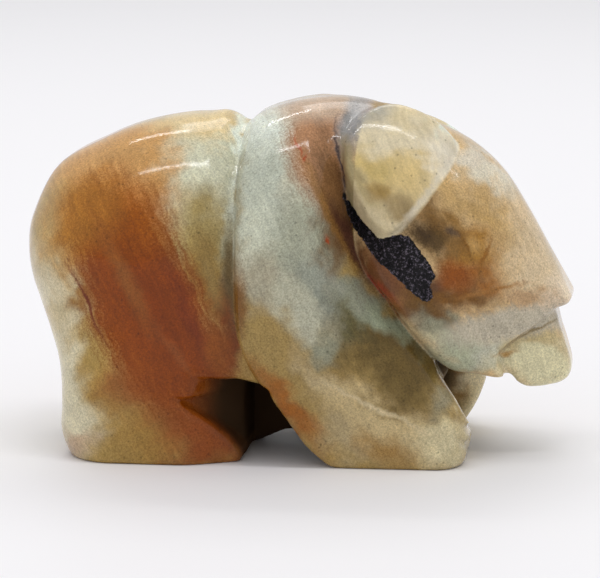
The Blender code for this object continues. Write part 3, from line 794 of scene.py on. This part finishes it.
# Carved parts in the order that they are laid over the forequarters, each with where it starts and
# where it fully shows, by its attribute: the distance to an ear, or how much farther a point is from
# the hindquarters or the head than from the forequarters
PART_RUNS = {"hind": (0.15, -0.15), "head": (0.15, -0.15), "ear": (0.5, 0.15)}

# The patterns' real sizes in millimetres: swirls of the bedding with how far they bend it, mineral
# grains, drawn as fine as the picture can show them, the length and width of streaks along the beds,
# clouds, the way from pit to pit in the polish, and the matrix's ragged edge and flakes
MILLIMETRES = 1000.0
NOISE_MIDDLE = (0.5, 0.5, 0.5)
IN_THE_PLANE = (1.0, 1.0, 0.0)
SWIRLS = [(9.0, 1.6), (2.5, 1.2), (0.8, 0.5), (0.25, 0.2)]
GRAIN = 0.17
STREAK = (4.0, 0.4)
STREAK_TURN = -65
CLOUD = 2.2
PIT_SPACING = 1.1
MATRIX_RAGGED = 0.5
MATRIX_FLAKE = 0.28

# How strongly each pattern shades the stone: the run of its values that counts, then the darkest and
# the lightest that it makes a colour. A pit is a tenth of a millimetre wide where it is darkest. The
# ear is clearer, and this share of its grain is left out
TONES = {
    "grain": ((0.3, 0.7), (0.72, 1.28)),
    "cloud": ((0.25, 0.75), (0.86, 1.14)),
    "streak": ((0.3, 0.7), (0.9, 1.1)),
    "pits": ((0.05, 0.13), (0.62, 1.0)),
}
EAR_CLEARNESS = 0.6

# Grain and streaks together push a stain's edge in and out, by this share of its reach
EDGE_RUN = (0.6, 1.4)
EDGE_SHARE = 0.22

# The surface: roughness of the tumbled polish, which changes with the clouds, of the matrix and of the
# deep places, where shade is painted, the polish's shine, and relief in metres, so slight on the polish
# that a lamp's image in it stays sharp
POLISH_RUN = (0.3, 0.7)
POLISH_ROUGHNESS = (0.06, 0.11)
MATRIX_ROUGHNESS = 0.45
PAINTED_SHADE_ROUGHNESS = 0.9
POLISH_SHINE = 0.22
POLISH_RELIEF = 0.000003
MATRIX_RELIEF = 0.0003

# Colours of the painted shade in deep places and of the matrix, which is black, with violet-white flakes
# painted where its noise is highest as its glints, and which shows where its depth and its ragged edge
# add up to enough
PAINTED_SHADE_COLOUR = "#3C2C1E"
PAINTED_GLINT_RAMP = ((0.53, "#0C090D"), (0.77, "#A69AAC"))
MATRIX_SHOWS = (0.75, 0.9)

# A Mix node's sockets share their names, so they are told apart by their places
SHARE = 0
NUMBERS = (2, 3)
COLOURS = (6, 7)
MIXED_COLOUR = 2


def stone():
    """Polished banded amazonite: a feldspar's IOR of 1.53, a tumbler's polish and light let in by about
    a millimetre. Stains and some painted shade and highlight are laid over the beds' colours, then grain,
    pits, painted shade in deep places and the dark matrix with its painted glints."""
    material = bpy.data.materials.new("polished_banded_amazonite")
    material.use_nodes = True
    tree = material.node_tree
    shader = tree.nodes["Principled BSDF"]

    place = node(tree, "ShaderNodeTexCoord").outputs["Object"]
    in_mm = node(tree, "ShaderNodeVectorMath", {0: place, "Scale": MILLIMETRES}, operation="SCALE")

    # The bedding's own axes, bent by four sizes of swirl
    across = node(tree, "ShaderNodeVectorMath", {0: in_mm, 1: ACROSS_BEDDING}, operation="DOT_PRODUCT")
    up = node(tree, "ShaderNodeVectorMath", {0: in_mm, 1: UP_BEDDING}, operation="DOT_PRODUCT")
    bent = node(tree, "ShaderNodeCombineXYZ", {"X": across.outputs["Value"], "Y": up.outputs["Value"]})
    for length, sway in SWIRLS:
        swirl = node(tree, "ShaderNodeTexNoise", {"Vector": in_mm, "Scale": 1 / length, "Detail": 2.0})
        level = node(tree, "ShaderNodeVectorMath", {
            0: swirl.outputs["Color"], 1: NOISE_MIDDLE}, operation="SUBTRACT")
        flat = node(tree, "ShaderNodeVectorMath", {0: level, 1: IN_THE_PLANE}, operation="MULTIPLY")
        bend = node(tree, "ShaderNodeVectorMath", {0: flat, "Scale": sway}, operation="SCALE")
        bent = node(tree, "ShaderNodeVectorMath", {0: bent, 1: bend}, operation="ADD")

    # How much each carved part shows, with a soft step of a third of a millimetre
    part = {}
    for name, (start, full) in PART_RUNS.items():
        distance = node(tree, "ShaderNodeAttribute", attribute_name=name).outputs["Fac"]
        part[name] = node(tree, "ShaderNodeMapRange", {
            "Value": distance, "From Min": start, "From Max": full})
    taken = node(tree, "ShaderNodeMath", {0: part["head"], 1: part["hind"]}, operation="MAXIMUM")
    part["fore"] = node(tree, "ShaderNodeMath", {0: 1.0, 1: taken}, operation="SUBTRACT")

    # Mineral grain and streaks along the beds, which also fray the stains' edges
    grain = node(tree, "ShaderNodeTexNoise", {
        "Vector": in_mm, "Scale": 1 / GRAIN, "Detail": 2.0, "Roughness": 0.8})
    along = node(tree, "ShaderNodeMapping", {
        "Vector": bent, "Rotation": (0.0, 0.0, np.radians(STREAK_TURN)),
        "Scale": (*STREAK, 1.0)}, vector_type="TEXTURE")
    streak = node(tree, "ShaderNodeTexNoise", {"Vector": along, "Scale": 1.0, "Detail": 3.0})
    both = node(tree, "ShaderNodeMath", {0: grain, 1: streak}, operation="ADD")
    fray = node(tree, "ShaderNodeMapRange", {
        "Value": both, "From Min": EDGE_RUN[0], "From Max": EDGE_RUN[1],
        "To Min": -EDGE_SHARE, "To Max": EDGE_SHARE}, clamp=False)

    # The beds of each carved part
    beds = {}
    for name in BEDS_AND_PAINTED_SHADE:
        beds[name] = node(tree, "ShaderNodeAttribute", attribute_name=f"beds_{name}").outputs["Color"]
    colour = beds["fore"]
    for name in PART_RUNS:
        colour = node(tree, "ShaderNodeMix", {
            SHARE: part[name], COLOURS[0]: colour, COLOURS[1]: beds[name]},
            data_type="RGBA").outputs[MIXED_COLOUR]

    # Each mark: its ellipse scaled to a circle of radius 1, and the distance from its middle, frayed
    for name, centre, reach, turn, softness, tint in STAINS_AND_PAINTED_LIGHT:
        local = node(tree, "ShaderNodeMapping", {
            "Vector": bent, "Location": (*centre, 0.0), "Rotation": (0.0, 0.0, np.radians(turn)),
            "Scale": (*reach, 1.0)}, vector_type="TEXTURE")
        out = node(tree, "ShaderNodeVectorMath", {0: local}, operation="LENGTH").outputs["Value"]
        frayed = node(tree, "ShaderNodeMath", {0: out, 1: fray}, operation="ADD")
        strength = node(tree, "ShaderNodeMapRange", {
            "Value": frayed, "From Min": 1 - softness, "From Max": 1 + softness,
            "To Min": 1.0, "To Max": 0.0}, interpolation_type="SMOOTHSTEP")
        amount = node(tree, "ShaderNodeMath", {0: strength, 1: part[name]}, operation="MULTIPLY")
        colour = node(tree, "ShaderNodeMix", {
            SHARE: amount, COLOURS[0]: colour, COLOURS[1]: linear(tint)},
            data_type="RGBA").outputs[MIXED_COLOUR]

    # Grain, clouds, streaks and pin-prick pits, lighter and darker than the bed that they are in
    cloud = node(tree, "ShaderNodeTexNoise", {
        "Vector": in_mm, "Scale": 1 / CLOUD, "Detail": 4.0, "Roughness": 0.6})
    cells = node(tree, "ShaderNodeTexVoronoi", {"Vector": in_mm, "Scale": 1 / PIT_SPACING})
    clear = node(tree, "ShaderNodeMath", {0: part["ear"], 1: EAR_CLEARNESS}, operation="MULTIPLY")
    patterns = {"grain": grain, "cloud": cloud, "streak": streak, "pits": cells.outputs["Distance"]}
    for name, ((start, end), (darkest, lightest)) in TONES.items():
        tone = node(tree, "ShaderNodeMapRange", {
            "Value": patterns[name], "From Min": start, "From Max": end,
            "To Min": darkest, "To Max": lightest})
        if name == "grain":
            tone = node(tree, "ShaderNodeMix", {SHARE: clear, NUMBERS[0]: tone, NUMBERS[1]: 1.0})
        colour = node(tree, "ShaderNodeVectorMath", {0: colour, "Scale": tone}, operation="SCALE")

    # Shade painted into the deep places: there the colour turns to a dark brown
    deep = node(tree, "ShaderNodeAttribute", attribute_name="deep").outputs["Fac"]
    colour = node(tree, "ShaderNodeMix", {
        SHARE: deep, COLOURS[0]: colour, COLOURS[1]: linear(PAINTED_SHADE_COLOUR)},
        data_type="RGBA").outputs[MIXED_COLOUR]

    # The dark matrix, ragged at its edge
    depth = node(tree, "ShaderNodeAttribute", attribute_name="matrix").outputs["Fac"]
    ragged = node(tree, "ShaderNodeTexNoise", {
        "Vector": in_mm, "Scale": 1 / MATRIX_RAGGED, "Detail": 3.0})
    edge = node(tree, "ShaderNodeMath", {0: depth, 1: ragged}, operation="ADD")
    dark = node(tree, "ShaderNodeMapRange", {
        "Value": edge, "From Min": MATRIX_SHOWS[0], "From Max": MATRIX_SHOWS[1]})
    flakes = node(tree, "ShaderNodeTexNoise", {
        "Vector": in_mm, "Scale": 1 / MATRIX_FLAKE, "Detail": 4.0, "Roughness": 0.8})
    # Painted glints: where the flake noise is highest the black turns violet-white
    glint = node(tree, "ShaderNodeValToRGB", {"Fac": flakes})
    for stop, (position, tint) in zip(glint.color_ramp.elements, PAINTED_GLINT_RAMP):
        stop.position = position
        stop.color = linear(tint)
    colour = node(tree, "ShaderNodeMix", {
        SHARE: dark, COLOURS[0]: colour, COLOURS[1]: glint},
        data_type="RGBA").outputs[MIXED_COLOUR]

    # Roughness, shine and relief, which differ on the polish, in the matrix and in the painted shade of
    # deep places
    polish = node(tree, "ShaderNodeMapRange", {
        "Value": cloud, "From Min": POLISH_RUN[0], "From Max": POLISH_RUN[1],
        "To Min": POLISH_ROUGHNESS[0], "To Max": POLISH_ROUGHNESS[1]})
    rough = node(tree, "ShaderNodeMix", {SHARE: dark, NUMBERS[0]: polish, NUMBERS[1]: MATRIX_ROUGHNESS})
    shaded_roughness = node(tree, "ShaderNodeMix", {SHARE: deep, NUMBERS[0]: rough, NUMBERS[1]: PAINTED_SHADE_ROUGHNESS})
    shine = node(tree, "ShaderNodeMapRange", {"Value": deep, "To Min": POLISH_SHINE, "To Max": 0.0})
    relief = node(tree, "ShaderNodeMix", {SHARE: dark, NUMBERS[0]: grain, NUMBERS[1]: flakes})
    height = node(tree, "ShaderNodeMapRange", {
        "Value": dark, "To Min": POLISH_RELIEF, "To Max": MATRIX_RELIEF})
    bump = node(tree, "ShaderNodeBump", {"Height": relief, "Distance": height, "Strength": 1.0})

    tree.links.new(colour, shader.inputs["Base Color"])
    tree.links.new(shaded_roughness.outputs[0], shader.inputs["Roughness"])
    tree.links.new(shine.outputs[0], shader.inputs["Specular IOR Level"])
    tree.links.new(bump.outputs[0], shader.inputs["Normal"])
    shader.inputs["IOR"].default_value = 1.53
    shader.inputs["Subsurface Weight"].default_value = 0.15
    shader.inputs["Subsurface Radius"].default_value = (1.0, 0.75, 0.5)
    shader.inputs["Subsurface Scale"].default_value = 0.001
    return material


carved.materials.append(stone())

# A sheet of white acrylic lies under the bear as its floor, satin, so that it gives hardly any mirror
# image of it
FLOOR_HALF = 1.5
floor_mesh = bpy.data.meshes.new("studio_floor")
corners = [(x * FLOOR_HALF, y * FLOOR_HALF, 0.0) for x, y in ((-1, -1), (1, -1), (1, 1), (-1, 1))]
floor_mesh.from_pydata(corners, [], [(0, 1, 2, 3)])
studio_floor = bpy.data.objects.new("studio_floor", floor_mesh)
bpy.context.scene.collection.objects.link(studio_floor)
satin = bpy.data.materials.new("satin_white_acrylic")
satin.use_nodes = True
satin_shader = satin.node_tree.nodes["Principled BSDF"]
satin_shader.inputs["Base Color"].default_value = linear("#EFEEF1")
satin_shader.inputs["Roughness"].default_value = 0.6
floor_mesh.materials.append(satin)

# The light is a white tent, with a soft panel above and behind the bear and three long tubes over it
# that draw the streaks on its polish
TENT_STRENGTH = 0.73
world = bpy.data.worlds.new("light_tent")
world.use_nodes = True
bpy.context.scene.world = world
tent = world.node_tree.nodes["Background"]
tent.inputs["Color"].default_value = linear("#FFFFFF")
tent.inputs["Strength"].default_value = TENT_STRENGTH

# Each lamp: the way to it from the middle of the bear, its length and width in metres, and its watts.
# It faces the bear and lies along it
LAMP_AIM = Vector((0.0, 0.0, 0.015))
LAMP_DISTANCE = 0.6
FORWARD = Vector((1.0, 0.0, 0.0))
LAMPS = [
    ("tube_far", (-0.3, 0.53, 0.8), (0.2, 0.014), 0.18),
    ("tube_near", (-0.05, -0.14, 0.99), (0.5, 0.014), 0.75),
    ("tube_side", (0.3, -0.17, 0.94), (0.36, 0.012), 0.3),
    ("panel_behind", (0.0, 0.62, 0.78), (0.3, 0.2), 0.45),
]
for name, way, size, power in LAMPS:
    light = bpy.data.lights.new(name, "AREA")
    light.shape = "RECTANGLE"
    light.size, light.size_y = size
    light.energy = power
    lamp = bpy.data.objects.new(name, light)
    away = Vector(way).normalized()
    across = away.cross(FORWARD).normalized()
    lamp.location = LAMP_AIM + away * LAMP_DISTANCE
    lamp.rotation_euler = Matrix((across.cross(away), across, away)).transposed().to_euler()
    bpy.context.scene.collection.objects.link(lamp)

# The camera looks at the bear's right side, a little from the front and from above. Its lens takes in
# the view's width at the target, which is the middle of the picture
VIEW_SIDE = np.radians(7.0)
VIEW_HEIGHT = np.radians(10.0)
VIEW_DISTANCE = 0.3
VIEW_WIDTH = 0.0566
SENSOR_WIDTH = 36.0
TARGET = Vector((-0.000102, 0.0, 0.01459))
camera_data = bpy.data.cameras.new("camera")
camera_data.sensor_width = SENSOR_WIDTH
camera_data.lens = SENSOR_WIDTH * VIEW_DISTANCE / VIEW_WIDTH
camera_data.clip_start = 0.01
camera = bpy.data.objects.new("camera", camera_data)
level = np.cos(VIEW_HEIGHT)
back = Vector((level * np.sin(VIEW_SIDE), -level * np.cos(VIEW_SIDE), np.sin(VIEW_HEIGHT)))
camera.location = TARGET + VIEW_DISTANCE * back
camera.rotation_euler = back.to_track_quat("Z", "Y").to_euler()
bpy.context.scene.collection.objects.link(camera)
bpy.context.scene.camera = camera
bpy.context.scene.view_settings.view_transform = "Standard"
